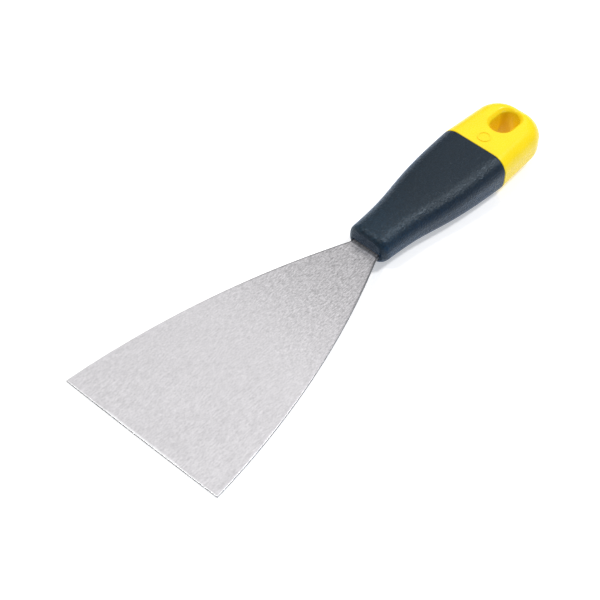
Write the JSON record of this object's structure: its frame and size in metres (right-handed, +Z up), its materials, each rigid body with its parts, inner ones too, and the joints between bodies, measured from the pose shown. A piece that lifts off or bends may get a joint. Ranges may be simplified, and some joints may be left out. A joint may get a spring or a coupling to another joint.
{
  "type": "filling and taping knife",
  "caption": "Hand knife for filler and joint compound: a thin tapered steel blade with a straight working edge, in a slim two-colour handle with a hanging hole.",
  "frame": {"origin": "centre of the bounding box in X and Y, level with the lowest point of the butt's underside", "axes": "+X from the butt to the working edge, +Y across the blade, +Z up out of the blade's flat face"},
  "size_m": [0.2218, 0.075, 0.0184],
  "materials": {
    "blade_steel": "fine ground satin, one direction along the knife",
    "hard_yellow_plastic": "smooth moulded gloss",
    "soft_dark_grip": "matt, finely stippled"
  },
  "bodies": {
    "root": {"blade": "blade_steel", "handle_core": "hard_yellow_plastic", "grip_sleeve": "soft_dark_grip"}
  },
  "joints": []
}
